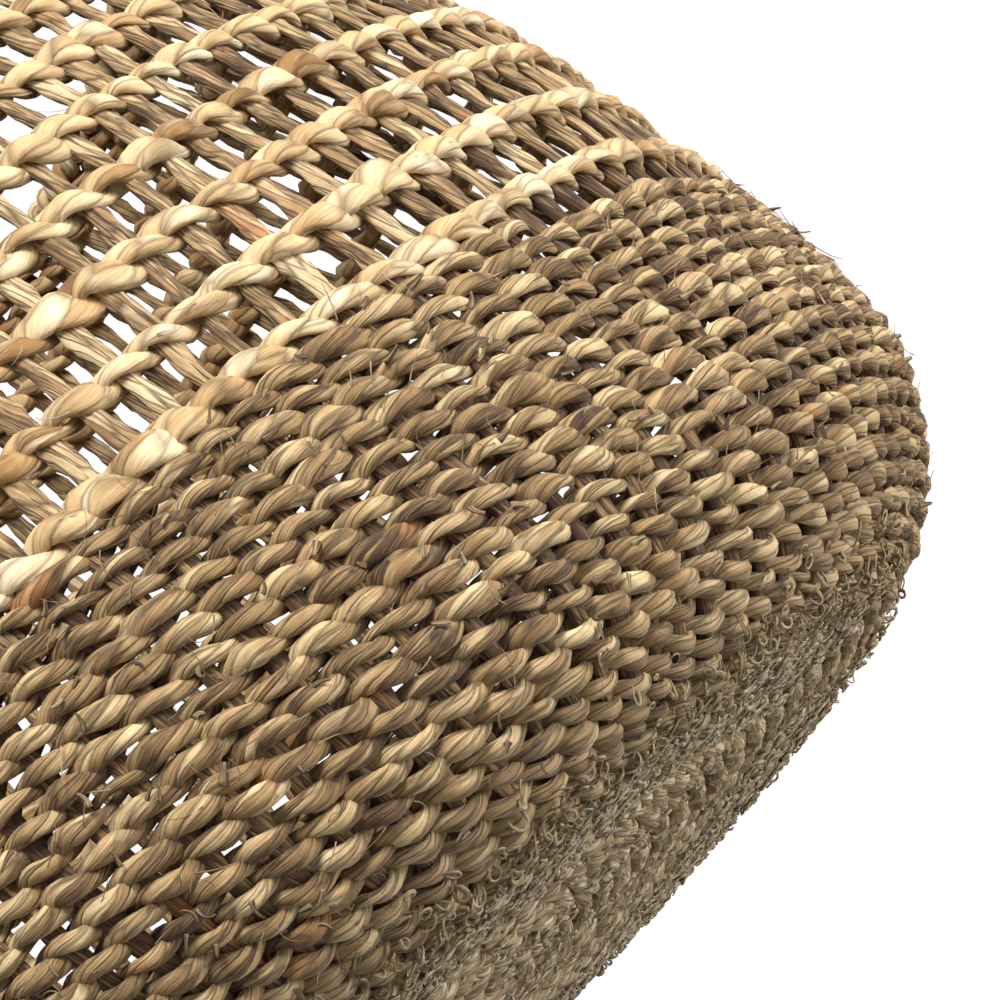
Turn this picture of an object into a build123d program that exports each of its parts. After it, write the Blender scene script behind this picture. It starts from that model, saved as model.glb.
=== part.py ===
"""Round twined seagrass storage basket.

The basket is made as a real one is. Stakes of twisted grass radiate from a centre
knot, run out through the flat base, turn up round the corner and rise to the border.
Every round of weaving is a pair of weavers, one passing outside the stakes and one
inside. The base and the lower side are close woven, the upper side is open.

The wall's middle line, seen in section, is a flat base, a corner arc, a bowed side and
a straight neck, each tangent to the next. Distances along it are measured outwards
from the axis. The origin is the middle of the underside, +Z is up, sizes are in mm.
"""

import os
from math import asin, atan2, cos, degrees, pi, sin

from build123d import *

# Overall form, measured on the outside of the weaving
belly_radius = 180.0        # widest radius of the side
belly_height = 66.0         # height of the widest point above the floor
height = 260.0              # floor to the top of the border
corner_radius = 52.0        # turn from the base into the side
bow_radius = 328.0          # bow of the side, seen in section
neck_height = 180.0         # where the bowed side becomes the straight neck
close_height = 92.0         # floor to the top of the close weaving

# Grass
stake_diameter = 2.8
weaver_thickness = 3.2      # one weaver, measured through the wall
open_weaver_height = 6.0    # cream weavers of the open rows, measured up the wall
border_diameter = 4.4       # one strand of the border plait
weaver_rounding = 0.9       # edges of a weaver's section
fit_clearance = 0.05        # between a stake and the weavers that grip it
row_gap = 0.35              # between one close-woven row and the next

# Rows of weaving
knot_radius = 16.0
base_rows = 18
close_rows = 20
open_rows = 9
rim_rows = 2
rim_row_height = 5.4

# Where the last close row stops, so that the weaving is seen to end there
last_row_end_deg = -49.0
last_row_sweep_deg = 270.0

# Stakes: how many start at each distance from the axis
stake_sets = {
    "stakes_from_centre": (28, knot_radius + fit_clearance),
    "stakes_added_in_base": (28, 46.0),
    "stakes_added_near_edge": (56, 86.0),
}

# Worked-out sizes
stake_count = sum(count for count, _ in stake_sets.values())
weaver_offset = stake_diameter / 2 + fit_clearance + weaver_thickness / 2
half_wall = weaver_offset + weaver_thickness / 2
bow_centre = (belly_radius - bow_radius, belly_height)
corner_reach = bow_radius - corner_radius
corner_drop = belly_height - corner_radius
base_edge = bow_centre[0] + (corner_reach**2 - corner_drop**2) ** 0.5
corner_centre = (base_edge, corner_radius)
corner_end = atan2(corner_centre[1] - bow_centre[1], corner_centre[0] - bow_centre[0])
neck_lean = asin((neck_height - belly_height) / bow_radius)
corner_line_radius = corner_radius - half_wall
bow_line_radius = bow_radius - half_wall
neck_start = (
    bow_centre[0] + bow_line_radius * cos(neck_lean),
    bow_centre[1] + bow_line_radius * sin(neck_lean),
)

# The border: two strands grip the stakes' tips and one caps them
border_radius = border_diameter / 2
border_offset = stake_diameter / 2 + fit_clearance + border_radius
cap_rise = border_radius + fit_clearance
neck_end_height = height - border_radius - cap_rise * cos(neck_lean)
neck_length = (neck_end_height - neck_start[1]) / cos(neck_lean)

# Lengths along the middle line
corner_length = corner_line_radius * (corner_end + pi / 2)
bow_length = bow_line_radius * (neck_lean - corner_end)
line_length = base_edge + corner_length + bow_length + neck_length
close_lean = asin((close_height - belly_height) / bow_line_radius)
close_top = base_edge + corner_length + bow_line_radius * (close_lean - corner_end)


def line_at(distance):
    """Point on the wall's middle line and the outward normal's angle there, in radians."""
    if distance <= base_edge:
        return distance, half_wall, -pi / 2
    distance -= base_edge
    if distance <= corner_length:
        angle = -pi / 2 + distance / corner_line_radius
        return (
            corner_centre[0] + corner_line_radius * cos(angle),
            corner_centre[1] + corner_line_radius * sin(angle),
            angle,
        )
    distance -= corner_length
    if distance <= bow_length:
        angle = corner_end + distance / bow_line_radius
        return (
            bow_centre[0] + bow_line_radius * cos(angle),
            bow_centre[1] + bow_line_radius * sin(angle),
            angle,
        )
    distance -= bow_length
    return (
        neck_start[0] - distance * sin(neck_lean),
        neck_start[1] + distance * cos(neck_lean),
        neck_lean,
    )


def ring(section, distance, offset, sweep=360.0, start=0.0):
    """A section set across the wall, moved out by offset, and turned round the basket's axis."""
    r, z, angle = line_at(distance)
    centre = (r + offset * cos(angle), z + offset * sin(angle))
    face = Plane.XZ * Pos(*centre) * Rot(0, 0, degrees(angle)) * section
    return Rot(0, 0, start) * revolve(face, Axis.Z, sweep)


def weaving_row(distance, row_height, sweep=360.0, start=0.0):
    """One round of weaving: the weaver outside the stakes and the weaver inside them."""
    section = RectangleRounded(weaver_thickness, row_height, weaver_rounding)
    return Compound(
        children=[
            ring(section, distance, weaver_offset, sweep, start),
            ring(section, distance, -weaver_offset, sweep, start),
        ]
    )


def zone_rows(first, last, count, gap):
    """Middle distances and height of count equal rows that share the line from first to last."""
    pitch = (last - first) / count
    return [first + pitch * (i + 0.5) for i in range(count)], pitch - gap


def make_stake(start):
    """One stake, from its start in the base to the border."""
    corner_arc = CenterArc(corner_centre, corner_line_radius, -90, degrees(corner_end) + 90)
    bow_arc = CenterArc(
        bow_centre, bow_line_radius, degrees(corner_end), degrees(neck_lean - corner_end)
    )
    neck_end = line_at(line_length)
    path = Plane.XZ * Wire(
        [
            Line((start, half_wall), (base_edge, half_wall)),
            corner_arc,
            bow_arc,
            Line(neck_start, neck_end[:2]),
        ]
    )
    section = Plane((start, 0, half_wall), z_dir=(1, 0, 0)) * Circle(stake_diameter / 2)
    return sweep(section, path)


def stake_slots(name):
    """Which of the evenly spaced places round the basket a set of stakes fills."""
    if name == "stakes_from_centre":
        return range(0, stake_count, 4)
    if name == "stakes_added_in_base":
        return range(2, stake_count, 4)
    return range(1, stake_count, 2)


def make_stake_set(name, start):
    """The stakes of one set, each turned to its own place round the basket."""
    stake = make_stake(start)
    step = 360 / stake_count
    return Compound(children=[Rot(0, 0, slot * step) * stake for slot in stake_slots(name)])


def make_knot():
    """The tied centre of the base, which the first stakes grow from."""
    section = Pos(knot_radius / 2, half_wall) * Rectangle(knot_radius, 2 * half_wall)
    knot = revolve(Plane.XZ * section, Axis.Z)
    return fillet(knot.edges(), weaver_rounding)


def make_border():
    """The border plait's three strands: outside, inside and over the stakes' tips."""
    strand = Circle(border_radius)
    tip = line_length - border_radius
    r, z, lean = line_at(line_length)
    cap_face = Plane.XZ * Pos(r - cap_rise * sin(lean), z + cap_rise * cos(lean)) * strand
    return Compound(
        children=[
            ring(strand, tip, border_offset),
            ring(strand, tip, -border_offset),
            revolve(cap_face, Axis.Z),
        ]
    )


def make_nodes():
    """Every node of the basket, by name."""
    nodes = {"centre_knot": make_knot()}

    places, row_height = zone_rows(knot_radius, base_edge, base_rows, row_gap)
    for number, place in enumerate(places, 1):
        nodes[f"base_row_{number:02d}"] = weaving_row(place, row_height)

    places, row_height = zone_rows(base_edge, close_top, close_rows, row_gap)
    for number, place in enumerate(places[:-1], 1):
        nodes[f"close_row_{number:02d}"] = weaving_row(place, row_height)
    nodes[f"close_row_{close_rows:02d}"] = weaving_row(
        places[-1], row_height, last_row_sweep_deg, last_row_end_deg - last_row_sweep_deg
    )

    border_start = line_length - border_diameter
    rim_start = border_start - rim_rows * (rim_row_height + row_gap)
    open_pitch = (rim_start - close_top) / open_rows
    for number in range(open_rows):
        place = close_top + open_weaver_height / 2 + row_gap / 2 + number * open_pitch
        nodes[f"open_row_{number + 1:02d}"] = weaving_row(place, open_weaver_height)

    places, row_height = zone_rows(rim_start, border_start, rim_rows, row_gap)
    for number, place in enumerate(places, 1):
        nodes[f"rim_row_{number}"] = weaving_row(place, row_height)

    for name, (_, start) in stake_sets.items():
        nodes[name] = make_stake_set(name, start)
    nodes["border_plait"] = make_border()
    return nodes


if __name__ == "__main__":
    os.makedirs("parts", exist_ok=True)
    for node_name, shape in make_nodes().items():
        export_step(shape, f"parts/{node_name}.step")
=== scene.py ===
"""A round storage basket twined from twisted grass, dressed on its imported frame.

Every round of weaving is a pair of twisted weavers that cross between the stakes, so
that one lies outside a stake and the other inside it. Rounds, stakes and border are
laid along the same side line as the frame's solids, with the small wander of handwork.
Strands are built station by station, because no operator lays a twisted pair that
wanders round uneven stakes.
"""

import logging
from dataclasses import dataclass, field
from enum import Enum

import bpy
import numpy as np
from mathutils import Matrix, Vector


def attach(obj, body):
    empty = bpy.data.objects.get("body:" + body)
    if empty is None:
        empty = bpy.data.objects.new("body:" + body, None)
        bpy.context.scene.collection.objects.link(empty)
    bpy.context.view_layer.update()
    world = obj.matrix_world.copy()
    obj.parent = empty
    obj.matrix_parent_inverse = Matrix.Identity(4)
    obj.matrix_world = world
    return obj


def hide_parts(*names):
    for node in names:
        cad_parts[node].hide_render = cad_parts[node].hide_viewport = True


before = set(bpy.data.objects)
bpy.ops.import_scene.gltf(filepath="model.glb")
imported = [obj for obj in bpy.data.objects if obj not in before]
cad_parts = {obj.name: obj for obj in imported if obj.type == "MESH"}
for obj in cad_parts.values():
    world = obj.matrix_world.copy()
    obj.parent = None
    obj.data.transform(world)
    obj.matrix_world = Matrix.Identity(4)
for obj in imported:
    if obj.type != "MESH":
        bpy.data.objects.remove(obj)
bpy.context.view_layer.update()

LOG = logging.getLogger("basket")
MM = 0.001
TURN = 2 * np.pi
PATTERN_LENGTH = 50  # strands start anywhere on this length of a finish's pattern, in metres

# Where each set of stakes starts, as a distance from the axis
STAKE_STARTS = {
    "stakes_from_centre": 16.05 * MM,
    "stakes_added_in_base": 46.0 * MM,
    "stakes_added_near_edge": 86.0 * MM,
}


class Slot(Enum):
    """Material slots of the record."""

    CLOSE = "close_weave"
    BASE = "base_weave"
    CREAM = "cream_weave"
    STAKE = "stake_grass"


class Zone(Enum):
    """Where a round of weaving lies."""

    BASE = "base"
    CLOSE = "close"
    OPEN = "open"
    RIM = "rim"


class Fibre(Enum):
    """Kinds of fibre that leave a round."""

    HAIR = "hair"
    MATTED = "matted"
    CUT_END = "cut_end"


@dataclass(frozen=True)
class SideLine:
    """Middle line of the woven wall in section: flat base, corner arc, bow, straight neck."""

    belly_radius: float = 180.0 * MM
    belly_height: float = 66.0 * MM
    height: float = 260.0 * MM
    corner_radius: float = 52.0 * MM
    bow_radius: float = 328.0 * MM
    neck_height: float = 180.0 * MM
    close_height: float = 92.0 * MM
    half_wall: float = 4.65 * MM
    border_radius: float = 2.2 * MM
    clearance: float = 0.05 * MM

    @property
    def bow_centre(self) -> tuple[float, float]:
        """Centre of the bow arc, as distance from the axis and height."""
        return self.belly_radius - self.bow_radius, self.belly_height

    @property
    def bow_line(self) -> float:
        """Radius of the bow on the middle line."""
        return self.bow_radius - self.half_wall

    @property
    def corner_line(self) -> float:
        """Radius of the corner on the middle line."""
        return self.corner_radius - self.half_wall

    @property
    def base_edge(self) -> float:
        """Where the flat base meets the corner arc."""
        reach = self.bow_radius - self.corner_radius
        drop = self.belly_height - self.corner_radius
        return self.bow_centre[0] + np.sqrt(reach**2 - drop**2)

    @property
    def corner_end(self) -> float:
        """Normal's angle where the corner arc meets the bow."""
        bow_r, bow_z = self.bow_centre
        return np.arctan2(self.corner_radius - bow_z, self.base_edge - bow_r)

    @property
    def neck_lean(self) -> float:
        """Normal's angle on the straight neck."""
        return np.arcsin((self.neck_height - self.belly_height) / self.bow_radius)

    @property
    def corner_length(self) -> float:
        """Length of the corner arc on the middle line."""
        return self.corner_line * (self.corner_end + np.pi / 2)

    @property
    def bow_length(self) -> float:
        """Length of the bow arc on the middle line."""
        return self.bow_line * (self.neck_lean - self.corner_end)

    @property
    def neck_start(self) -> tuple[float, float]:
        """Where the straight neck starts."""
        bow_r, bow_z = self.bow_centre
        return (
            bow_r + self.bow_line * np.cos(self.neck_lean),
            bow_z + self.bow_line * np.sin(self.neck_lean),
        )

    @property
    def length(self) -> float:
        """Whole length of the middle line, from the axis to the border."""
        rise = (self.border_radius + self.clearance) * np.cos(self.neck_lean)
        end_height = self.height - self.border_radius - rise
        neck = (end_height - self.neck_start[1]) / np.cos(self.neck_lean)
        return self.base_edge + self.corner_length + self.bow_length + neck

    @property
    def close_top(self) -> float:
        """Where the close weaving stops."""
        lean = np.arcsin((self.close_height - self.belly_height) / self.bow_line)
        return self.base_edge + self.corner_length + self.bow_line * (lean - self.corner_end)

    def at(self, distance: np.ndarray) -> tuple[np.ndarray, np.ndarray, np.ndarray]:
        """Points of the middle line.

        Args:
            distance: distances along the line from the axis.

        Returns:
            Distances from the axis, heights and normal angles.
        """
        s = np.asarray(distance, float)
        bow_r, bow_z = self.bow_centre
        corner = np.clip(s - self.base_edge, 0, self.corner_length) / self.corner_line
        bow = np.clip(s - self.base_edge - self.corner_length, 0, self.bow_length) / self.bow_line
        neck = np.maximum(s - self.base_edge - self.corner_length - self.bow_length, 0)
        lean = -np.pi / 2 + corner + bow
        on_base = s <= self.base_edge
        on_corner = s <= self.base_edge + self.corner_length
        corner_r = self.base_edge + self.corner_line * np.cos(lean)
        corner_z = self.corner_radius + self.corner_line * np.sin(lean)
        side_r = np.where(on_corner, corner_r, bow_r + self.bow_line * np.cos(lean))
        side_z = np.where(on_corner, corner_z, bow_z + self.bow_line * np.sin(lean))
        r = np.where(on_base, s, side_r)
        z = np.where(on_base, self.half_wall, side_z)
        return r - neck * np.sin(self.neck_lean), z + neck * np.cos(self.neck_lean), lean


@dataclass
class Handwork:
    """Smooth unevenness that neighbouring rounds and stakes share, so that they still fit."""

    stakes: int
    seed: int = 11
    up_size: float = 0.34 * MM
    out_size: float = 0.40 * MM
    round_size: float = 0.55 * MM
    own_size: float = 0.22 * MM
    own_waves: int = 3
    up_grows_over: float = 60 * MM
    out_starts: float = 140 * MM
    out_grows_over: float = 50 * MM
    round_starts: float = 20 * MM
    round_grows_over: float = 100 * MM

    def __post_init__(self) -> None:
        """Draws the waves."""
        draw = np.random.default_rng(self.seed)
        self.up = self._waves(draw, 14, self.up_size)
        self.out = self._waves(draw, 12, self.out_size)
        self.round = self._waves(draw, 16, self.round_size)
        self.own_phase = draw.uniform(0, TURN, (self.stakes, self.own_waves))
        self.own_pitch = draw.uniform(0.035, 0.09, (self.stakes, self.own_waves)) / MM

    @staticmethod
    def _waves(draw: np.random.Generator, count: int, size: float) -> np.ndarray:
        """Random waves round and up the wall.

        Args:
            draw: the random draws.
            count: how many waves, and the most turns that one makes round the wall.
            size: how far the largest reaches.

        Returns:
            Rows of turns, rates along the line, phases and sizes.
        """
        return np.stack(
            [
                draw.integers(1, count, count),
                draw.uniform(-0.06, 0.06, count) / MM,
                draw.uniform(0, TURN, count),
                draw.uniform(0.4, 1.0, count) * size,
            ]
        )

    @staticmethod
    def _sum(waves: np.ndarray, azimuth: np.ndarray, distance: np.ndarray) -> np.ndarray:
        """Sum of a set of waves at some places on the wall.

        Args:
            waves: the set, as _waves gives it.
            azimuth: angles round the basket.
            distance: distances along the side line.

        Returns:
            One value for each place.
        """
        turns, rate, phase, size = waves[:, :, None]
        angle = turns * azimuth.ravel() + rate * distance.ravel() + phase
        return (size * np.cos(angle)).sum(0).reshape(azimuth.shape)

    def shift(self, azimuth: np.ndarray, distance: np.ndarray) -> tuple[np.ndarray, np.ndarray]:
        """How far the weaving wanders up the wall and out of it.

        Args:
            azimuth: angles round the basket.
            distance: distances along the side line.

        Returns:
            Shift up the wall and shift outwards.
        """
        up_share = np.clip(distance / self.up_grows_over, 0, 1)
        out_share = np.clip((distance - self.out_starts) / self.out_grows_over, 0, 1)
        up = self._sum(self.up, azimuth, distance) * up_share
        out = self._sum(self.out, azimuth, distance) * out_share
        return up, out

    def stake_azimuth(self, index: np.ndarray, distance: np.ndarray, radius: np.ndarray) -> np.ndarray:
        """Angle of each stake round the basket at a place along it.

        Args:
            index: stake numbers.
            distance: distances along the side line, one for each number.
            radius: distances from the axis, one for each number.

        Returns:
            Angles in radians.
        """
        even = TURN * index / self.stakes
        together = self._sum(self.round, even, distance)
        whole = index.astype(int) % self.stakes
        waves = np.cos(self.own_pitch[whole].T * distance + self.own_phase[whole].T)
        own = self.own_size * waves.sum(0)
        share = np.clip((distance - self.round_starts) / self.round_grows_over, 0, 1)
        return even + (together + own) * share / np.maximum(radius, self.round_starts)


@dataclass
class MeshBuilder:
    """Collects tubes into one mesh with a map along each strand and its grass values."""

    points: list[np.ndarray] = field(default_factory=list)
    faces: list[np.ndarray] = field(default_factory=list)
    maps: list[np.ndarray] = field(default_factory=list)
    grass: list[np.ndarray] = field(default_factory=list)
    count: int = 0

    def tube(
        self,
        centre: np.ndarray,
        out: np.ndarray,
        up: np.ndarray,
        shape: np.ndarray,
        grass: np.ndarray,
        closed: bool,
        lay: float,
        offset: float,
    ) -> None:
        """Adds one tube.

        Args:
            centre: its middle line, one point for each station.
            out: unit vectors across the tube, away from the wall.
            up: unit vectors across the tube, along the wall.
            shape: for each station and place round the tube, the reach along out and up.
            grass: tone (with painted shade in it), warmth and wear for each station.
            closed: whether the last station joins the first.
            lay: turns that the blades make round the strand in one metre.
            offset: start of the map along the strand.
        """
        stations, around = shape.shape[:2]
        points = centre[:, None] + out[:, None] * shape[..., :1] + up[:, None] * shape[..., 1:]
        first = self.count
        rows = stations if closed else stations - 1
        i, j = np.meshgrid(np.arange(rows), np.arange(around), indexing="ij")
        k, m = (i + 1) % stations, (j + 1) % around
        quads = np.stack([i * around + j, i * around + m, k * around + m, k * around + j], -1)
        step = np.linalg.norm(np.roll(centre, -1, 0) - centre, axis=1)
        along = offset + np.concatenate([[0], np.cumsum(step)])
        girth = np.arange(around + 1) / around
        corner = [(i, j), (i, j + 1), (i + 1, j + 1), (i + 1, j)]
        maps = np.stack([np.stack([along[a], girth[b] + lay * along[a]], -1) for a, b in corner], 2)
        self.points.append(points.reshape(-1, 3))
        self.faces.append(first + quads.reshape(-1, 4))
        self.maps.append(maps.reshape(-1, 2))
        self.grass.append(np.repeat(grass, around, 0))
        self.count += stations * around
        if not closed:
            self._close_ends(points, first, along, grass)

    def _close_ends(self, points: np.ndarray, first: int, along: np.ndarray, grass: np.ndarray) -> None:
        """Closes both ends of an open tube with quads folded onto the middle of its end.

        Args:
            points: the tube's points, by station and place round it.
            first: number of its first point in the mesh.
            along: place of each station on the map.
            grass: tone (with painted shade in it), warmth and wear for each station.
        """
        stations, around = points.shape[:2]
        for station, forward in ((0, True), (stations - 1, False)):
            self.points.append(points[station].mean(0)[None])
            j = np.arange(around)
            ring = first + station * around
            a, b = ring + j, ring + (j + 1) % around
            middle = np.full(around, self.count)
            order = [b, a, middle, middle] if forward else [a, b, middle, middle]
            self.faces.append(np.stack(order, -1))
            place = np.stack([np.full(around * 4, along[station]), np.repeat(j / around, 4)], -1)
            self.maps.append(place)
            self.grass.append(grass[station][None])
            self.count += 1

    def build(self, name: str) -> bpy.types.Object:
        """Makes the object.

        Args:
            name: name of the piece.

        Returns:
            The new object, at the origin.
        """
        points = np.concatenate(self.points)
        points[:, 2] = np.maximum(points[:, 2], 0.0)
        faces = np.concatenate(self.faces)
        maps = np.concatenate(self.maps)
        folded = faces[:, 2] == faces[:, 3]
        sides = np.where(folded, 3, 4)
        keep = np.ones(faces.shape, bool)
        keep[folded, 3] = False
        starts = np.concatenate([[0], np.cumsum(sides)[:-1]])
        mesh = bpy.data.meshes.new(name)
        mesh.vertices.add(len(points))
        mesh.vertices.foreach_set("co", points.astype(np.float32).ravel())
        mesh.loops.add(int(sides.sum()))
        mesh.loops.foreach_set("vertex_index", faces[keep].astype(np.int32))
        mesh.polygons.add(len(faces))
        mesh.polygons.foreach_set("loop_start", starts.astype(np.int32))
        mesh.polygons.foreach_set("use_smooth", np.ones(len(faces), bool))
        layer = mesh.uv_layers.new(name="along_strand")
        layer.uv.foreach_set("vector", maps[keep.ravel()].astype(np.float32).ravel())
        values = mesh.attributes.new("grass", "FLOAT_COLOR", "POINT")
        grass = np.concatenate(self.grass)
        colour = np.concatenate([grass, np.ones((len(grass), 1))], 1)
        values.data.foreach_set("color", colour.astype(np.float32).ravel())
        mesh.update(calc_edges=True)
        mesh.validate()
        piece = bpy.data.objects.new(name, mesh)
        bpy.context.scene.collection.objects.link(piece)
        return piece


def unit(vectors: np.ndarray) -> np.ndarray:
    """Vectors scaled to length one."""
    return vectors / np.maximum(np.linalg.norm(vectors, axis=-1, keepdims=True), 1e-12)


def smooth_noise(draw: np.random.Generator, count: int, knots: int, closed: bool) -> np.ndarray:
    """Random values that change smoothly.

    Args:
        draw: the random draws.
        count: how many values.
        knots: how many independent values they run through.
        closed: whether the last value runs into the first.

    Returns:
        Values of about unit spread.
    """
    base = draw.normal(size=knots + 1)
    if closed:
        base[-1] = base[0]
    place = np.linspace(0, knots, count, endpoint=not closed)
    low = np.minimum(place.astype(int), knots - 1)
    t = place - low
    t = t * t * (3 - 2 * t)
    return base[low] * (1 - t) + base[low + 1] * t


def tangents(centre: np.ndarray, closed: bool) -> np.ndarray:
    """Unit vectors along a middle line.

    Args:
        centre: its points.
        closed: whether the last point joins the first.

    Returns:
        One vector for each point.
    """
    if closed:
        return unit(np.roll(centre, -1, 0) - np.roll(centre, 1, 0))
    return unit(np.gradient(centre, axis=0))


def square_to(normal: np.ndarray, tangent: np.ndarray) -> np.ndarray:
    """Normals turned square to the tangents."""
    return unit(normal - tangent * (normal * tangent).sum(-1, keepdims=True))


def facing_out(shape: np.ndarray, out: np.ndarray, up: np.ndarray, tangent: np.ndarray) -> np.ndarray:
    """Section points in the order that makes the tube's faces point outwards.

    Args:
        shape: the section's points.
        out: unit vectors across the tube, away from the wall.
        up: unit vectors across the tube, along the wall.
        tangent: unit vectors along the tube.

    Returns:
        The points, turned round where that is needed.
    """
    if (np.cross(out[0], up[0]) * tangent[0]).sum() < 0:
        return shape[:, ::-1]
    return shape


@dataclass(frozen=True)
class StrandForm:
    """One weaver's size, its reach from the wall's middle and how its blades are folded."""

    thick: float
    wide: float
    reach_out: float
    reach_up: float
    lobes: float = 0.12
    uneven: float = 0.2
    pinch: float = 0.1
    around: int = 11
    per_stake: int = 7
    blade_turns: float = 34.0


FORMS = {
    Zone.BASE: StrandForm(
        thick=1.5 * MM, wide=1.85 * MM, reach_out=2.5 * MM, reach_up=1.2 * MM,
        lobes=0.08, uneven=0.24, around=9, per_stake=6,
    ),
    Zone.CLOSE: StrandForm(
        thick=1.58 * MM, wide=2.08 * MM, reach_out=2.3 * MM, reach_up=1.15 * MM, lobes=0.13, around=9
    ),
    Zone.OPEN: StrandForm(
        thick=1.6 * MM, wide=2.5 * MM, reach_out=2.3 * MM, reach_up=1.5 * MM, uneven=0.22
    ),
    Zone.RIM: StrandForm(thick=1.5 * MM, wide=1.9 * MM, reach_out=2.2 * MM, reach_up=1.2 * MM),
}


@dataclass(frozen=True)
class FibreForm:
    """One kind of fibre: its length, half width, breadth against that, and tone."""

    stations: int
    length: tuple[float, float]
    width: tuple[float, float]
    breadth: float
    tone: float
    tone_spread: float


FIBRES = {
    Fibre.HAIR: FibreForm(6, (2.5, 8), (0.08, 0.2), 1.0, 0.7, 0.15),
    Fibre.MATTED: FibreForm(8, (3, 8), (0.25, 0.8), 1.0, 1.2, 0.42),
    Fibre.CUT_END: FibreForm(6, (2.5, 8), (0.08, 0.2), 5.0, 0.45, 0.15),
}


@dataclass(frozen=True)
class Blade:
    """A broad flat blade laid in where a weaver is spliced."""

    azimuth: float
    length: float
    widen: float


@dataclass
class Round:
    """One round of weaving on the side line, and how many fibres of each kind leave it."""

    node: str
    zone: Zone
    distance: float
    seed: int
    start: float = 0.0
    sweep: float = TURN
    blades: tuple[Blade, ...] = ()
    fibres: dict[Fibre, int] = field(default_factory=dict)
    slip: float = 0.0

    @property
    def closed(self) -> bool:
        """Whether the round meets itself."""
        return self.sweep >= TURN


@dataclass
class Course:
    """One weaver's stations on its way round, and the evenly spaced knots of its unevenness."""

    azimuth: np.ndarray
    phase: np.ndarray
    swell: np.ndarray
    lift: np.ndarray
    knots: int

    @property
    def count(self) -> int:
        """How many stations."""
        return len(self.azimuth)

    @property
    def front(self) -> np.ndarray:
        """How far each station is to the outside of the stakes, from -1 to 1."""
        return np.cos(self.phase)


@dataclass
class Basket:
    """What every sub-assembly of the basket shares: its line, handwork and stake places."""

    stake_count: int = 112
    line: SideLine = field(default_factory=SideLine)
    wear_start: float = 16 * MM

    def __post_init__(self) -> None:
        """Sets out the basket's unevenness."""
        self.hand = Handwork(self.stake_count)

    def stakes_at(self, distance: float) -> np.ndarray:
        """Numbers of the stakes that reach a distance along the line."""
        _, second, third = STAKE_STARTS.values()
        spacing = 4 if distance < second else 2 if distance < third else 1
        return np.arange(0, self.stake_count, spacing)

    def place(
        self, azimuth: np.ndarray, distance: np.ndarray, out: np.ndarray, up: np.ndarray
    ) -> tuple[np.ndarray, np.ndarray, np.ndarray]:
        """Points near the wall.

        Args:
            azimuth: angles round the basket.
            distance: distances along the side line.
            out: how far out of the middle line.
            up: how far up the wall from the distance given.

        Returns:
            Points, outward unit vectors and unit vectors up the wall.
        """
        shift_up, shift_out = self.hand.shift(azimuth, distance)
        r, z, lean = self.line.at(distance)
        cos_a, sin_a = np.cos(azimuth), np.sin(azimuth)
        normal = np.stack([np.cos(lean) * cos_a, np.cos(lean) * sin_a, np.sin(lean)], -1)
        along = np.stack([-np.sin(lean) * cos_a, -np.sin(lean) * sin_a, np.cos(lean)], -1)
        middle = np.stack([r * cos_a, r * sin_a, z], -1)
        outward = normal * (out + shift_out)[:, None]
        upward = along * (up + shift_up)[:, None]
        return middle + outward + upward, normal, along

    def wear(self, centre: np.ndarray, most: float) -> np.ndarray:
        """How worn the grass is: most on the underside, none above the corner's turn.

        Args:
            centre: points.
            most: the value at the floor, which is cut to one.

        Returns:
            One value for each point.
        """
        return np.clip(most - centre[:, 2] / self.wear_start, 0, 1)


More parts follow.
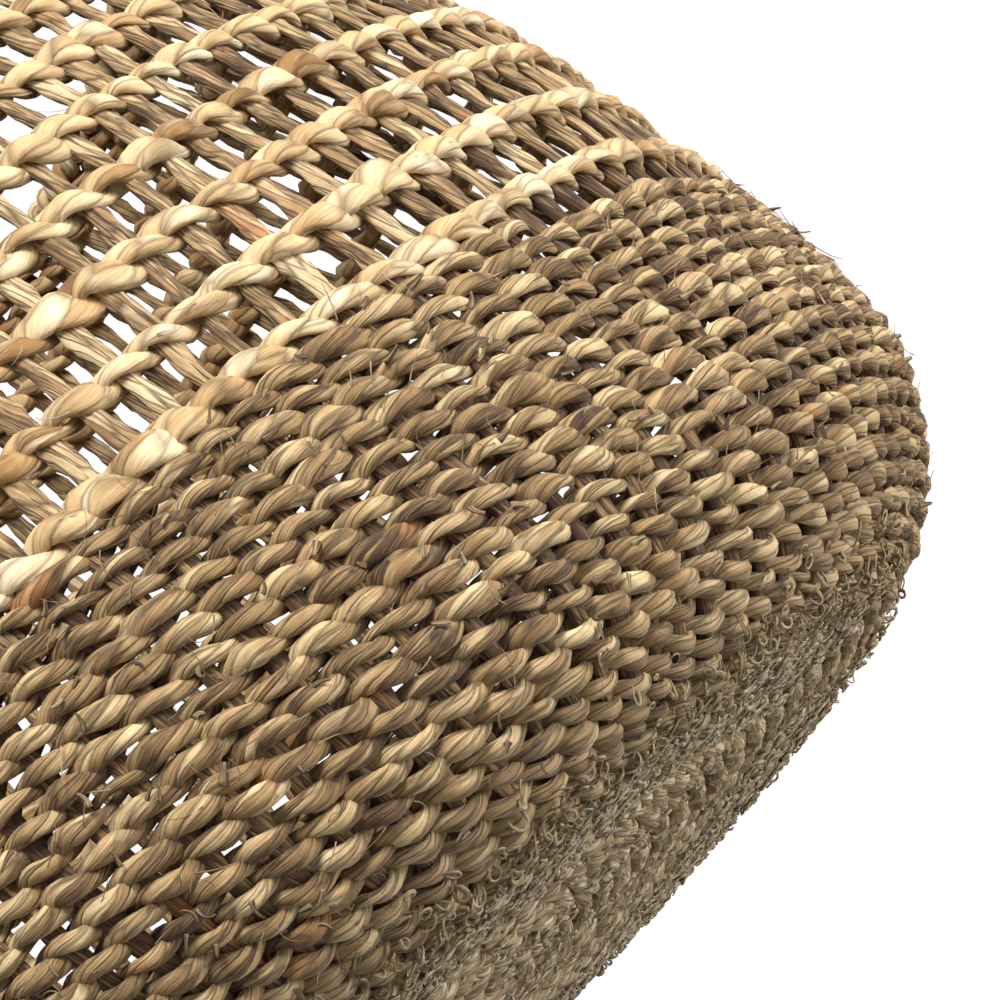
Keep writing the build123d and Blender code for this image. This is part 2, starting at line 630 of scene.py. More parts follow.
@dataclass
class Weaving(Basket):
    """The rounds of weaving, from the base's middle to the border."""

    base_rounds: int = 18
    close_rounds: int = 20
    open_rounds: int = sum(name.startswith("open_row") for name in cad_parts)
    rim_rounds: int = 2
    knot_radius: float = 16.0 * MM
    open_height: float = 6.0 * MM
    rim_height: float = 5.4 * MM
    row_gap: float = 0.35 * MM
    last_end: float = np.radians(-49.0)
    last_sweep: float = np.radians(270.0)
    first_matted: int = 13
    matted_on_corner: tuple[int, ...] = (560, 480, 300, 140, 60)
    most_slip: float = 0.75
    worn_at_floor: float = 1.15
    base_clearance: float = 1.2 * MM

    def rounds(self) -> list[Round]:
        """Lists every round with its place on the line.

        Returns:
            The rounds in the order they are woven.
        """
        listed = self._base() + self._close() + self._open_and_rim()
        slips = np.random.default_rng(61).uniform(-self.most_slip, self.most_slip, len(listed))
        for row, slip in zip(listed, slips):
            row.slip = float(slip)
        return listed

    def _base(self) -> list[Round]:
        """The base's rounds, matted where the base is worn.

        Returns:
            The rounds, from the knot outwards.
        """
        listed = []
        step = (self.line.base_edge - self.knot_radius) / self.base_rounds
        for i in range(self.base_rounds):
            place = self.knot_radius + step * (i + 0.5)
            matted = 430 if i >= self.first_matted else 30
            row = Round(f"base_row_{i + 1:02d}", Zone.BASE, place, 100 + i)
            row.fibres = {Fibre.MATTED: matted}
            listed.append(row)
        return listed

    def _close(self) -> list[Round]:
        """The close rounds of the corner and lower side. The last stops part of the way round.

        Returns:
            The rounds, from the base upwards.
        """
        listed = []
        step = (self.line.close_top - self.line.base_edge) / self.close_rounds
        for i in range(self.close_rounds):
            place = self.line.base_edge + step * (i + 0.5)
            row = Round(f"close_row_{i + 1:02d}", Zone.CLOSE, place, 200 + i)
            row.fibres = {Fibre.HAIR: 50}
            if i < len(self.matted_on_corner):
                row.fibres[Fibre.MATTED] = self.matted_on_corner[i]
            row.fibres[Fibre.CUT_END] = 34
            listed.append(row)
        listed[-1].start = self.last_end - self.last_sweep
        listed[-1].sweep = self.last_sweep
        return listed

    def _open_and_rim(self) -> list[Round]:
        """The open rounds and the rounds under the border.

        Returns:
            The rounds, from the close weaving upwards.
        """
        listed = []
        border_start = self.line.length - 2 * self.line.border_radius
        rim_step = self.rim_height + self.row_gap
        rim_start = border_start - self.rim_rounds * rim_step
        pitch = (rim_start - self.line.close_top) / self.open_rounds
        for i in range(self.open_rounds):
            place = self.line.close_top + self.open_height / 2 + self.row_gap / 2 + i * pitch
            row = Round(f"open_row_{i + 1:02d}", Zone.OPEN, place, 300 + i, blades=self._blades(i))
            row.fibres = {Fibre.HAIR: 14}
            listed.append(row)
        for i in range(self.rim_rounds):
            row = Round(f"rim_row_{i + 1}", Zone.RIM, rim_start + rim_step * (i + 0.5), 400 + i)
            row.fibres = {Fibre.HAIR: 12}
            listed.append(row)
        return listed

    @staticmethod
    def _blades(index: int) -> tuple[Blade, ...]:
        """Broad blades of one open round: those of the lower rounds, and a few more.

        Args:
            index: the round's number, from 0.

        Returns:
            The blades.
        """
        chosen = {
            0: (Blade(-1.37, 15 * MM, 1.5), Blade(-1.46, 14 * MM, 1.45)),
            2: (Blade(-1.33, 17 * MM, 1.6),),
        }
        draw = np.random.default_rng(900 + index)
        azimuths = draw.uniform(-np.pi, np.pi, 4)
        more = [Blade(float(a), float(draw.uniform(10, 16)) * MM, 1.35) for a in azimuths]
        return chosen.get(index, ()) + tuple(more)

    def build(self, row: Round) -> bpy.types.Object:
        """Weaves one round.

        Args:
            row: the round.

        Returns:
            Its object.
        """
        draw = np.random.default_rng(row.seed)
        builder = MeshBuilder()
        for strand in (0, 1):
            self._strand(builder, row, strand, draw)
        for kind, number in row.fibres.items():
            for _ in range(number):
                self._fibre(builder, row, kind, draw)
        return builder.build(row.node.replace("row", "round"))

    def _course(self, row: Round, form: StrandForm, strand: int, draw: np.random.Generator) -> Course:
        """Sets out one weaver's stations, a half-turn of the pair at every stake.

        Args:
            row: the round.
            form: the weaver's form.
            strand: 0 or 1, which side of the first stake it starts on.
            draw: the random draws.

        Returns:
            The weaver's course.
        """
        stakes = self.stakes_at(row.distance)
        count = len(stakes)
        radius = float(self.line.at(np.array(row.distance))[0])
        ring = np.append(stakes, stakes[0] + self.stake_count)
        same = np.ones(count + 1)
        at = self.hand.stake_azimuth(ring, same * row.distance, same * radius)
        first, last = 0.5, count + 0.5
        if not row.closed:
            first = (row.start % TURN) / TURN * count
            last = first + row.sweep / TURN * count
        total = int(round((last - first) * form.per_stake))
        u = np.linspace(first, last, total, endpoint=not row.closed)
        turn = np.floor(u / count)
        azimuth = np.interp(u - turn * count, np.arange(count + 1), at) + turn * TURN
        knots = max(int(last - first), 4)
        swell = 1 + form.uneven * smooth_noise(draw, total, knots, row.closed)
        lift = 0.34 * MM * smooth_noise(draw, total, knots, row.closed)
        uneven_twist = 0.2 * smooth_noise(draw, total, knots, row.closed)
        phase = np.pi * (u + strand) + row.slip + uneven_twist
        return Course(azimuth, phase, swell, lift, knots)

    def _flatness(self, row: Round, course: Course) -> np.ndarray:
        """How many times wider than usual the weaver is, which is more at a broad blade.

        Args:
            row: the round.
            course: the weaver's course.

        Returns:
            One value for each station.
        """
        radius = float(self.line.at(np.array(row.distance))[0])
        flat = np.ones(course.count)
        for blade in row.blades:
            off = (course.azimuth - blade.azimuth + np.pi) % TURN - np.pi
            near = np.exp(-((off * radius / (blade.length / 2)) ** 2))
            if course.front[np.argmin(np.abs(off))] > 0:
                flat = flat + (blade.widen - 1) * near
        return flat

    def _strand(
        self, builder: MeshBuilder, row: Round, strand: int, draw: np.random.Generator
    ) -> None:
        """Lays one weaver of a round.

        Args:
            builder: the mesh that it joins.
            row: the round.
            strand: 0 or 1, which side of the first stake it starts on.
            draw: the random draws.
        """
        form = FORMS[row.zone]
        course = self._course(row, form, strand, draw)
        reach_out = form.reach_out * course.front
        if row.zone is Zone.BASE:
            reach_out = np.minimum(reach_out, self.line.half_wall - self.base_clearance)
        reach_up = course.lift - form.reach_up * np.sin(course.phase)
        distance = np.full(course.count, row.distance)
        centre, normal, along = self.place(course.azimuth, distance, reach_out, reach_up)
        tangent = tangents(centre, row.closed)
        out = square_to(normal, tangent)
        up = np.cross(tangent, out)
        up *= np.sign((up * along).sum(-1, keepdims=True))
        shape = self._section(row, form, course, centre)
        shape = facing_out(shape, out, up, tangent)
        grass = self._strand_grass(row, course, centre, draw)
        offset = draw.uniform(0, PATTERN_LENGTH)
        builder.tube(centre, out, up, shape, grass, row.closed, form.blade_turns, offset)

    def _section(
        self, row: Round, form: StrandForm, course: Course, centre: np.ndarray
    ) -> np.ndarray:
        """The weaver's lobed section at each station, turned as its blades are twisted.

        Args:
            row: the round.
            form: the weaver's form.
            course: the weaver's course.
            centre: its middle line.

        Returns:
            For each station and place round the weaver, the reach along out and up.
        """
        theta = TURN * np.arange(form.around) / form.around - np.pi / 2
        travel = np.concatenate([[0], np.cumsum(np.linalg.norm(np.diff(centre, axis=0), axis=1))])
        turns = travel[-1] * form.blade_turns
        if row.closed:
            turns = round(turns)
        twist = TURN * turns * travel / travel[-1]
        angle = theta[None] - twist[:, None]
        ripple = 1 + form.lobes * (np.cos(2 * angle) * 0.6 + np.cos(3 * angle + 1.3) * 0.7)
        flat = self._flatness(row, course)
        size = (1 - form.pinch + form.pinch * course.front**2) * course.swell
        thick = form.thick * size / flat**0.4
        wide = form.wide * size * flat
        shape = np.stack(
            [thick[:, None] * ripple * np.cos(theta), wide[:, None] * ripple * np.sin(theta)], -1
        )
        if not row.closed:
            station = np.arange(course.count)
            to_end = np.minimum(station, station[::-1]) / form.per_stake
            shape = shape * np.clip(to_end, 0.12, 1)[:, None, None]
        return shape

    def _strand_grass(
        self, row: Round, course: Course, centre: np.ndarray, draw: np.random.Generator
    ) -> np.ndarray:
        """The weaver's tone, with painted shade where it passes inside the stakes, and its warmth and wear.

        Args:
            row: the round.
            course: the weaver's course.
            centre: its middle line.
            draw: the random draws.

        Returns:
            Three values for each station.
        """
        count, knots = course.count, course.knots
        tone = 0.5 + 0.09 * smooth_noise(draw, count, knots, row.closed) + 0.05 * draw.normal()
        tone = tone + 0.06 * smooth_noise(draw, count, max(knots // 9, 3), row.closed)
        # Painted shade: the weaver is darkened where it passes inside the stakes, so the gaps in the wall
        # look shaded.
        tone = tone - 0.28 * np.clip(-course.front, 0, 1)
        warm = np.clip(smooth_noise(draw, count, knots, row.closed) - 1.7, 0, 0.4)
        return np.stack([np.clip(tone, 0, 1), warm, self.wear(centre, self.worn_at_floor)], -1)

    def _fibre(
        self, builder: MeshBuilder, row: Round, kind: Fibre, draw: np.random.Generator
    ) -> None:
        """Adds one fibre: a hair, a cut end of a blade, or a curl on the worn surface.

        Args:
            builder: the mesh that it joins.
            row: the round that it comes from.
            kind: the kind of fibre.
            draw: the random draws.
        """
        form = FIBRES[kind]
        matted = kind is Fibre.MATTED
        t = np.linspace(0, 1, form.stations)
        length = draw.uniform(*form.length) * MM
        if kind is Fibre.CUT_END:
            length = draw.uniform(1.8, 4.0) * MM
        azimuth = row.start + draw.uniform(0.03, 0.97) * row.sweep
        radius = max(float(self.line.at(np.array(row.distance))[0]), 0.02)
        heading = draw.uniform(0, TURN) if matted else draw.normal(0.35, 0.5)
        if matted:
            curl = draw.choice([-1.0, 1.0]) * draw.uniform(2.5, 7.5)
        else:
            curl = draw.normal(0, 0.9)
        bend = heading + curl * t
        step = length / (form.stations - 1) * np.sign(draw.normal())
        azimuth = azimuth + np.cumsum(np.cos(bend)) * step / radius
        up = np.cumsum(np.sin(bend)) * step + draw.uniform(-2, 2) * MM
        surface = FORMS[row.zone].reach_out + FORMS[row.zone].thick
        if matted:
            out = surface + (2.8 * np.sin(np.pi * t) * draw.uniform(0, 1) - 0.5) * MM
        else:
            out = surface + (draw.uniform(0.2, 2.2) * t**1.6 - 0.2) * MM
        distance = np.clip(row.distance + up, 20 * MM, self.line.length)
        _, height, lean = self.line.at(distance)
        above_floor = (height - 0.45 * MM) / np.maximum(-np.sin(lean), 0.02)
        out = np.minimum(out, above_floor)
        centre, normal, _ = self.place(azimuth, distance, out, np.zeros(form.stations))
        tangent = tangents(centre, False)
        flat = unit(np.cross(tangent, normal))
        lift = np.cross(flat, tangent)
        width = draw.uniform(*form.width) * MM * (1.0 - 0.6 * t)
        theta = TURN * np.arange(4) / 4
        across = 0.7 * width[:, None] * np.cos(theta)
        shape = np.stack([across, form.breadth * width[:, None] * np.sin(theta)], -1)
        tone = np.clip(draw.normal(form.tone, form.tone_spread), 0, 1.6)
        wear = self.wear(centre, self.worn_at_floor)
        grass = np.stack([np.full(form.stations, tone), np.zeros(form.stations), wear], -1)
        builder.tube(centre, lift, flat, shape, grass, False, 0.0, draw.uniform(0, PATTERN_LENGTH))


@dataclass
class Stakes(Basket):
    """The stakes: loosely twisted bundles of thin strips that the rounds are woven on."""

    thick: float = 1.25 * MM
    wide: float = 2.1 * MM
    open_wide: float = 2.2 * MM
    wobble: float = 0.25 * MM
    around: int = 10
    hidden_step: float = 6.0 * MM
    seen_step: float = 1.7 * MM
    seen_below_close_top: float = 6.0 * MM
    shown_over: float = 5.0 * MM
    twist_length: float = 32.0 * MM
    lay: float = 12.0

    def numbers(self, node: str) -> np.ndarray:
        """Numbers of the stakes in one set."""
        first, spacing = {
            "stakes_from_centre": (0, 4),
            "stakes_added_in_base": (2, 4),
            "stakes_added_near_edge": (1, 2),
        }[node]
        return np.arange(first, self.stake_count, spacing)

    def build(self, node: str) -> bpy.types.Object:
        """Makes one set of stakes.

        Args:
            node: the frame's node.

        Returns:
            Its object.
        """
        draw = np.random.default_rng(len(node))
        builder = MeshBuilder()
        seen = self.line.close_top - self.seen_below_close_top
        hidden = np.arange(STAKE_STARTS[node], seen, self.hidden_step)
        shown = np.arange(seen, self.line.length, self.seen_step)
        distance = np.concatenate([hidden, shown])
        for number in self.numbers(node):
            self._stake(builder, int(number), distance, draw)
        return builder.build(node.replace("stakes", "stake_bundles"))

    def _stake(
        self, builder: MeshBuilder, number: int, distance: np.ndarray, draw: np.random.Generator
    ) -> None:
        """Adds one stake.

        Args:
            builder: the mesh that it joins.
            number: its place round the basket.
            distance: its stations along the side line.
            draw: the random draws.
        """
        count = len(distance)
        r = self.line.at(distance)[0]
        azimuth = self.hand.stake_azimuth(np.full(count, number), distance, r)
        wobble = self.wobble * smooth_noise(draw, count, 40, False)
        centre, normal, _ = self.place(azimuth, distance, wobble, np.zeros(count))
        tangent = tangents(centre, False)
        out = square_to(normal, tangent)
        side = np.cross(tangent, out)
        theta = TURN * np.arange(self.around) / self.around
        turned = TURN * distance / self.twist_length * draw.uniform(0.8, 1.25)
        angle = theta[None] - (turned + draw.uniform(0, TURN))[:, None]
        ripple = 1 + 0.10 * np.cos(2 * angle) + 0.10 * np.cos(3 * angle + 0.7) + 0.06 * np.cos(5 * angle)
        size = (1 + 0.13 * smooth_noise(draw, count, 24, False)) * draw.uniform(0.88, 1.1)
        shown = np.clip((distance - self.line.close_top) / self.shown_over, 0, 1)
        room = 0.36 * TURN * r / len(self.stakes_at(distance[0] + MM))
        wide = np.minimum(self.wide + (self.open_wide - self.wide) * shown, room) * size
        thick = self.thick * size**0.5
        shape = np.stack(
            [thick[:, None] * ripple * np.cos(theta), wide[:, None] * ripple * np.sin(theta)], -1
        )
        tone = 0.5 + 0.1 * draw.normal() + 0.1 * smooth_noise(draw, count, 20, False)
        # Painted shade: stakes are darker below the close weaving, where they lie behind the rounds.
        tone = np.clip(tone - 0.4 * (1 - shown), 0, 1)
        warm = np.clip(smooth_noise(draw, count, 12, False) - 1.3, 0, 0.5)
        grass = np.stack([tone, warm, self.wear(centre, 1.0)], -1)
        offset = draw.uniform(0, PATTERN_LENGTH)
        builder.tube(centre, out, side, shape, grass, False, self.lay, offset)


@dataclass
class Border(Basket):
    """The plait of three strands along the mouth."""

    strand_radius: float = 2.15 * MM
    reach_across: float = 2.6 * MM
    reach_up: float = 1.7 * MM
    below_tips: float = 1.5 * MM
    around: int = 12
    crossings: int = 150
    per_crossing: int = 7
    lay: float = 24.0

    def build(self) -> bpy.types.Object:
        """Plaits the border.

        Returns:
            Its object.
        """
        draw = np.random.default_rng(77)
        builder = MeshBuilder()
        count = self.crossings * self.per_crossing
        u = np.linspace(0, TURN, count, endpoint=False)
        distance = np.full(count, self.line.length) - self.below_tips
        for strand in range(3):
            phase = u * self.crossings / 3 + strand * TURN / 3
            across = self.reach_across * np.sin(phase)
            rise = self.reach_up * np.sin(2 * phase)
            centre, normal, along = self.place(u, distance, across, rise)
            tangent = tangents(centre, True)
            out = square_to(normal, tangent)
            up = np.cross(tangent, out)
            up *= np.sign((up * along).sum(-1, keepdims=True))
            theta = TURN * np.arange(self.around) / self.around - np.pi / 2
            size = self.strand_radius * (1 + 0.08 * smooth_noise(draw, count, self.crossings, True))
            size = size[:, None] * (1 + 0.08 * np.cos(3 * theta + 1.0))
            shape = np.stack([size * np.cos(theta), size * np.sin(theta)], -1)
            shape = facing_out(shape, out, up, tangent)
            tone = np.clip(0.5 + 0.15 * smooth_noise(draw, count, self.crossings, True), 0, 1)
            grass = np.stack([tone, np.zeros(count), np.zeros(count)], -1)
            offset = draw.uniform(0, PATTERN_LENGTH)
            builder.tube(centre, out, up, shape, grass, True, self.lay, offset)
        return builder.build("border")


@dataclass
class Knot(Basket):
    """The tied centre of the base: a flat coil of one strand, below, among and above the stakes."""

    turns: float = 3.4
    inner: float = 1.2 * MM
    outer: float = 13.6 * MM
    layer_step: float = 2.6 * MM
    thick: float = 1.75 * MM
    wide: float = 2.15 * MM
    around: int = 12
    stations: int = 150
    lay: float = 24.0
    worn: float = 0.8

    def build(self) -> bpy.types.Object:
        """Coils the knot.

        Returns:
            Its object.
        """
        draw = np.random.default_rng(5)
        builder = MeshBuilder()
        count = self.stations
        t = np.linspace(0, 1, count)
        radius = self.inner + (self.outer - self.inner) * t
        theta = TURN * np.arange(self.around) / self.around
        ripple = 1 + 0.12 * np.cos(2 * (theta[None] + 60 * t[:, None]))
        across = [self.thick * ripple * np.cos(theta), self.wide * ripple * np.sin(theta)]
        for layer in (-1, 0, 1):
            height = np.full(count, self.line.half_wall + layer * self.layer_step)
            angle = TURN * self.turns * t + draw.uniform(0, TURN)
            centre = np.stack([radius * np.cos(angle), radius * np.sin(angle), height], -1)
            out = np.tile([0.0, 0.0, 1.0], (count, 1))
            up = np.cross(tangents(centre, False), out)
            tone = np.clip(0.5 + 0.15 * smooth_noise(draw, count, 20, False), 0, 1)
            grass = np.stack([tone, np.zeros(count), np.full(count, self.worn)], -1)
            offset = draw.uniform(0, PATTERN_LENGTH)
            builder.tube(centre, out, up, np.stack(across, -1), grass, False, self.lay, offset)
        return builder.build("centre_coil")


def linear(rgb: tuple[int, int, int]) -> tuple[float, float, float, float]:
    """A colour given in display values, as the shader needs it."""
    c = np.array(rgb) / 255
    value = np.where(c <= 0.04045, c / 12.92, ((c + 0.055) / 1.055) ** 2.4)
    return (*map(float, value), 1.0)


class NodeBoard:
    """A material's nodes, with the few joins that the finishes are made of."""

    def __init__(self, name: str) -> None:
        """Starts a material.

        Args:
            name: its name.
        """
        self.material = bpy.data.materials.new(name)
        self.material.use_nodes = True
        self.nodes = self.material.node_tree.nodes
        self.links = self.material.node_tree.links
        self.shader = self.nodes["Principled BSDF"]

    def add(self, kind: str, **settings: str | float) -> bpy.types.Node:
        """Adds a node.

        Args:
            kind: its type.
            settings: values for its options or, where it has no such option, its sockets.

        Returns:
            The node.
        """
        node = self.nodes.new(f"ShaderNode{kind}")
        for name, value in settings.items():
            if hasattr(node, name):
                setattr(node, name, value)
            else:
                node.inputs[name.replace("_", " ").title()].default_value = value
        return node

    def stretched(
        self, place: bpy.types.Node, scale: tuple[float, float, float]
    ) -> bpy.types.NodeSocket:
        """The map along the strand, stretched so that a pattern runs with the fibres.

        Args:
            place: the node that gives the map.
            scale: cells along the strand in one metre, cells round it, and one.

        Returns:
            The stretched map.
        """
        mapping = self.add("Mapping")
        mapping.inputs["Scale"].default_value = scale
        self.links.new(place.outputs[0], mapping.inputs["Vector"])
        return mapping.outputs[0]

    def ranged(self, value: bpy.types.NodeSocket, low: float, high: float) -> bpy.types.NodeSocket:
        """A value brought from low and high to 0 and 1.

        Args:
            value: the value.
            low: what becomes 0.
            high: what becomes 1.

        Returns:
            The new value.
        """
        node = self.add("MapRange", from_min=low, from_max=high)
        self.links.new(value, node.inputs["Value"])
        return node.outputs[0]

    def summed(
        self, terms: list[tuple[bpy.types.NodeSocket, float]], start: float
    ) -> bpy.types.NodeSocket:
        """Weighted sum of values.

        Args:
            terms: values and their weights.
            start: what is added to them.

        Returns:
            The sum.
        """
        total = None
        for value, weight in terms:
            node = self.add("Math", operation="MULTIPLY_ADD")
            node.inputs[1].default_value = weight
            self.links.new(value, node.inputs[0])
            if total is None:
                node.inputs[2].default_value = start
            else:
                self.links.new(total, node.inputs[2])
            total = node.outputs[0]
        return total

    def mixed(
        self, factor: bpy.types.NodeSocket, colour: bpy.types.NodeSocket, other: tuple[int, int, int]
    ) -> bpy.types.NodeSocket:
        """A colour mixed with another.

        Args:
            factor: share of the other.
            colour: the first colour.
            other: the other, in display values.

        Returns:
            The mixed colour.
        """
        node = self.add("Mix", data_type="RGBA")
        self.links.new(factor, node.inputs[0])
        self.links.new(colour, node.inputs[6])
        node.inputs[7].default_value = linear(other)
        return node.outputs[2]

    def multiplied(
        self, colour: bpy.types.NodeSocket, value: bpy.types.NodeSocket
    ) -> bpy.types.NodeSocket:
        """A colour times a value.

        Args:
            colour: the colour.
            value: the value.

        Returns:
            The darkened colour.
        """
        node = self.add("Mix", data_type="RGBA", blend_type="MULTIPLY")
        node.inputs[0].default_value = 1.0
        self.links.new(colour, node.inputs[6])
        self.links.new(value, node.inputs[7])
        return node.outputs[2]


@dataclass(frozen=True)
class GrassFinish:
    """Dry twisted grass: long fibres, blade edges with painted shade along their creases, uneven tone and a
    dull sheen.
    """

    name: str
    dark: tuple[int, int, int]
    mid: tuple[int, int, int]
    light: tuple[int, int, int]
    warm: tuple[int, int, int]
    worn: tuple[int, int, int] = (206, 180, 140)
    worn_share: float = 0.3
    roughness: float = 0.7
    # Share of the colour taken off along the blade creases: painted shade.
    crease_shade: float = 0.5
    edge_width: float = 0.13
    fibre_depth: float = 0.35 * MM
    strips: float = 5.0
    fibre: float = 1.2

    def material(self) -> bpy.types.Material:
        """Builds the material.

        Returns:
            The new material.
        """
        board = NodeBoard(self.name)
        place = board.add("UVMap", uv_map="along_strand")
        values = board.add("Attribute", attribute_name="grass")
        parts = board.add("SeparateColor")
        board.links.new(values.outputs["Color"], parts.inputs[0])
        tone_value, warm_value, wear_value = parts.outputs[:3]

        strips = board.stretched(place, (70.0, self.strips, 1.0))
        cells = board.add("TexVoronoi", feature="F1", scale=1.0)
        board.links.new(strips, cells.inputs["Vector"])
        edges = board.add("TexVoronoi", feature="DISTANCE_TO_EDGE", scale=1.0)
        board.links.new(strips, edges.inputs["Vector"])
        crease = board.ranged(edges.outputs["Distance"], 0.0, self.edge_width)
        fine = board.add("TexNoise", scale=1.0, detail=5.0, roughness=0.65)
        board.links.new(board.stretched(place, (130.0, 34.0, 1.0)), fine.inputs["Vector"])
        blotch = board.add("TexNoise", scale=1.0, detail=3.0)
        board.links.new(board.stretched(place, (220.0, 3.0, 1.0)), blotch.inputs["Vector"])
        cell = board.add("SeparateColor")
        board.links.new(cells.outputs["Color"], cell.inputs[0])
        fibres = fine.outputs["Fac"]

        tone = board.summed(
            [(tone_value, 0.85), (cell.outputs[0], 0.45), (fibres, self.fibre), (blotch.outputs["Fac"], 0.5)],
            -0.4 - self.fibre / 2,
        )
        warmed = board.mixed(warm_value, self._ramp(board, tone), self.warm)
        aged = board.mixed(self._scaled(board, wear_value), warmed, self.worn)
        # Painted shade: the colour is darkened along the creases between the blades.
        painted_crease_shade = board.summed([(crease, self.crease_shade)], 1 - self.crease_shade)
        board.links.new(board.multiplied(aged, painted_crease_shade), board.shader.inputs["Base Color"])

        board.shader.inputs["Roughness"].default_value = self.roughness
        board.shader.inputs["Specular IOR Level"].default_value = 0.3
        board.shader.inputs["Sheen Weight"].default_value = 0.08
        relief = board.summed([(crease, 0.55), (fibres, 0.6), (cell.outputs[1], 0.25)], 0.0)
        bump = board.add("Bump", strength=1.0, distance=self.fibre_depth)
        board.links.new(relief, bump.inputs["Height"])
        board.links.new(bump.outputs[0], board.shader.inputs["Normal"])
        return board.material

    def _ramp(self, board: NodeBoard, tone: bpy.types.NodeSocket) -> bpy.types.NodeSocket:
        """The grass's colour for a tone, from dark to light.

        Args:
            board: the material's nodes.
            tone: the tone.

        Returns:
            The colour.
        """
        ramp = board.add("ValToRGB")
        dark, light = ramp.color_ramp.elements
        dark.position, light.position = 0.12, 0.88
        dark.color, light.color = linear(self.dark), linear(self.light)
        ramp.color_ramp.elements.new(0.5).color = linear(self.mid)
        board.links.new(tone, ramp.inputs[0])
        return ramp.outputs[0]

    def _scaled(self, board: NodeBoard, wear: bpy.types.NodeSocket) -> bpy.types.NodeSocket:
        """The wear's share of the worn colour.

        Args:
            board: the material's nodes.
            wear: the wear.

        Returns:
            The share.
        """
        node = board.add("Math", operation="MULTIPLY")
        node.inputs[1].default_value = self.worn_share
        board.links.new(wear, node.inputs[0])
        return node.outputs[0]


FINISHES = {
    Slot.CLOSE: GrassFinish(
        "close_grass", dark=(74, 50, 26), mid=(158, 127, 84), light=(216, 192, 146),
        warm=(180, 120, 68), strips=6.0, crease_shade=0.6,
    ),
    Slot.BASE: GrassFinish(
        "worn_grass", dark=(88, 64, 38), mid=(186, 158, 116), light=(248, 230, 192),
        warm=(176, 120, 78), strips=8.0,
    ),
    Slot.CREAM: GrassFinish(
        "cream_grass", dark=(146, 108, 62), mid=(206, 174, 126), light=(238, 220, 184),
        warm=(200, 150, 96), strips=3.5, fibre=0.8,
    ),
    Slot.STAKE: GrassFinish(
        "stake_grass", dark=(78, 52, 28), mid=(162, 130, 88), light=(214, 190, 148),
        warm=(178, 120, 74), strips=8.0, crease_shade=0.7,
    ),
}


@dataclass(frozen=True)
class Lamp:
    """A square soft light."""

    name: str
    place: tuple[float, float, float]
    size: float
    power: float


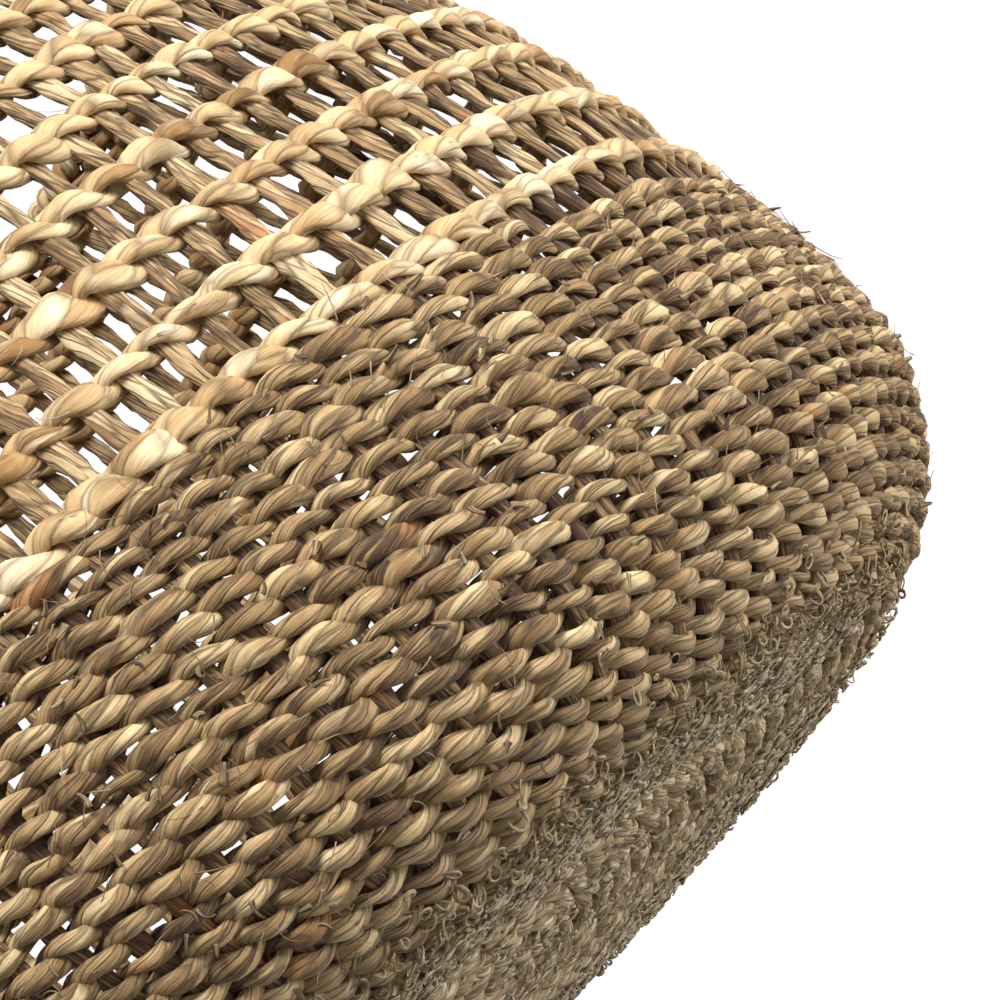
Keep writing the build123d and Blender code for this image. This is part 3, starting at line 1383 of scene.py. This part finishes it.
@dataclass(frozen=True)
class Studio:
    """Pale floor, soft light and the camera."""

    lamps: tuple[Lamp, ...] = (
        Lamp("key", (0.25, -1.2, 1.0), 0.6, 33.0),
        Lamp("fill", (1.3, -0.6, -0.1), 0.6, 9.0),
        Lamp("low", (1.3, -0.3, -0.5), 0.5, 9.0),
    )
    lit_point: tuple[float, float, float] = (0.0, 0.0, 0.1)
    floor_size: float = 8.0
    floor_drop: float = 0.5 * MM
    floor_colour: tuple[float, float, float, float] = (0.82, 0.81, 0.79, 1.0)
    surroundings_light: float = 0.4
    surroundings_seen: float = 1.05
    eye: tuple[float, float, float] = (0.0, -0.7221, -0.0744)
    right: tuple[float, float, float] = (0.70772, 0.06446, -0.70354)
    up: tuple[float, float, float] = (0.69600, -0.23461, 0.67863)
    ahead: tuple[float, float, float] = (0.12131, 0.96995, 0.21091)
    lens: float = 115.1
    sensor: float = 36.0

    def build(self) -> None:
        """Sets up the floor, the light and the camera."""
        self._floor()
        self._world()
        for lamp in self.lamps:
            self._light(lamp)
        self._camera()

    def _floor(self) -> None:
        """A pale floor that is seen from above and lets light up to the underside."""
        bpy.ops.object.select_all(action="DESELECT")
        bpy.ops.mesh.primitive_plane_add(size=self.floor_size, location=(0, 0, -self.floor_drop))
        floor = bpy.context.object
        floor.name = "floor"
        board = NodeBoard("pale_floor")
        board.shader.inputs["Base Color"].default_value = self.floor_colour
        board.shader.inputs["Roughness"].default_value = 0.8
        side = board.add("NewGeometry")
        clear = board.add("BsdfTransparent")
        mix = board.add("MixShader")
        board.links.new(side.outputs["Backfacing"], mix.inputs[0])
        board.links.new(board.shader.outputs[0], mix.inputs[1])
        board.links.new(clear.outputs[0], mix.inputs[2])
        board.links.new(mix.outputs[0], board.nodes["Material Output"].inputs["Surface"])
        floor.data.materials.append(board.material)
        floor.visible_shadow = False
        floor.visible_diffuse = False

    def _world(self) -> None:
        """White surroundings, brighter to look at than they are to light with."""
        world = bpy.data.worlds.new("studio")
        bpy.context.scene.world = world
        world.use_nodes = True
        nodes, links = world.node_tree.nodes, world.node_tree.links
        background = nodes["Background"]
        path = nodes.new("ShaderNodeLightPath")
        strength = nodes.new("ShaderNodeMapRange")
        strength.inputs["To Min"].default_value = self.surroundings_light
        strength.inputs["To Max"].default_value = self.surroundings_seen
        links.new(path.outputs["Is Camera Ray"], strength.inputs["Value"])
        links.new(strength.outputs[0], background.inputs["Strength"])
        background.inputs["Color"].default_value = (1.0, 1.0, 1.0, 1)

    def _light(self, lamp: Lamp) -> None:
        """A square soft light aimed at the basket's side."""
        data = bpy.data.lights.new(lamp.name, "AREA")
        data.size = lamp.size
        data.energy = lamp.power
        light = bpy.data.objects.new(lamp.name, data)
        bpy.context.scene.collection.objects.link(light)
        aim = Vector(self.lit_point) - Vector(lamp.place)
        turn = aim.to_track_quat("-Z", "Y").to_matrix().to_4x4()
        light.matrix_world = Matrix.Translation(lamp.place) @ turn

    def _camera(self) -> None:
        """The camera, close to the side and rolled, slightly below the base."""
        data = bpy.data.cameras.new("camera")
        data.lens = self.lens
        data.sensor_width = self.sensor
        data.clip_start = 0.01
        camera = bpy.data.objects.new("camera", data)
        bpy.context.scene.collection.objects.link(camera)
        axes = Matrix((self.right, self.up, tuple(-v for v in self.ahead))).transposed()
        camera.matrix_world = Matrix.Translation(self.eye) @ axes.to_4x4()
        bpy.context.scene.camera = camera


def dress(
    piece: bpy.types.Object, node: str, slot: Slot, materials: dict[Slot, bpy.types.Material]
) -> None:
    """Fits a piece to the frame and gives it its finish.

    Args:
        piece: the new object.
        node: the frame's node that it stands for.
        slot: the finish.
        materials: the finishes' materials.
    """
    piece.data.materials.append(materials[slot])
    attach(piece, "root")
    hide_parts(node)
    LOG.info("%s stands for %s, %d faces", piece.name, node, len(piece.data.polygons))


def main() -> None:
    """Builds the basket in the order it is made, then the studio."""
    logging.basicConfig(level=logging.INFO, format="%(name)s: %(message)s")
    materials = {slot: finish.material() for slot, finish in FINISHES.items()}
    dress(Knot().build(), "centre_knot", Slot.BASE, materials)
    stakes = Stakes()
    for node in STAKE_STARTS:
        dress(stakes.build(node), node, Slot.STAKE, materials)
    slots = {Zone.BASE: Slot.BASE, Zone.CLOSE: Slot.CLOSE, Zone.OPEN: Slot.CREAM, Zone.RIM: Slot.CREAM}
    weaving = Weaving()
    for row in weaving.rounds():
        dress(weaving.build(row), row.node, slots[row.zone], materials)
    dress(Border().build(), "border_plait", Slot.CREAM, materials)
    Studio().build()
    bpy.context.scene.view_settings.view_transform = "Standard"


if __name__ == "__main__":
    main()
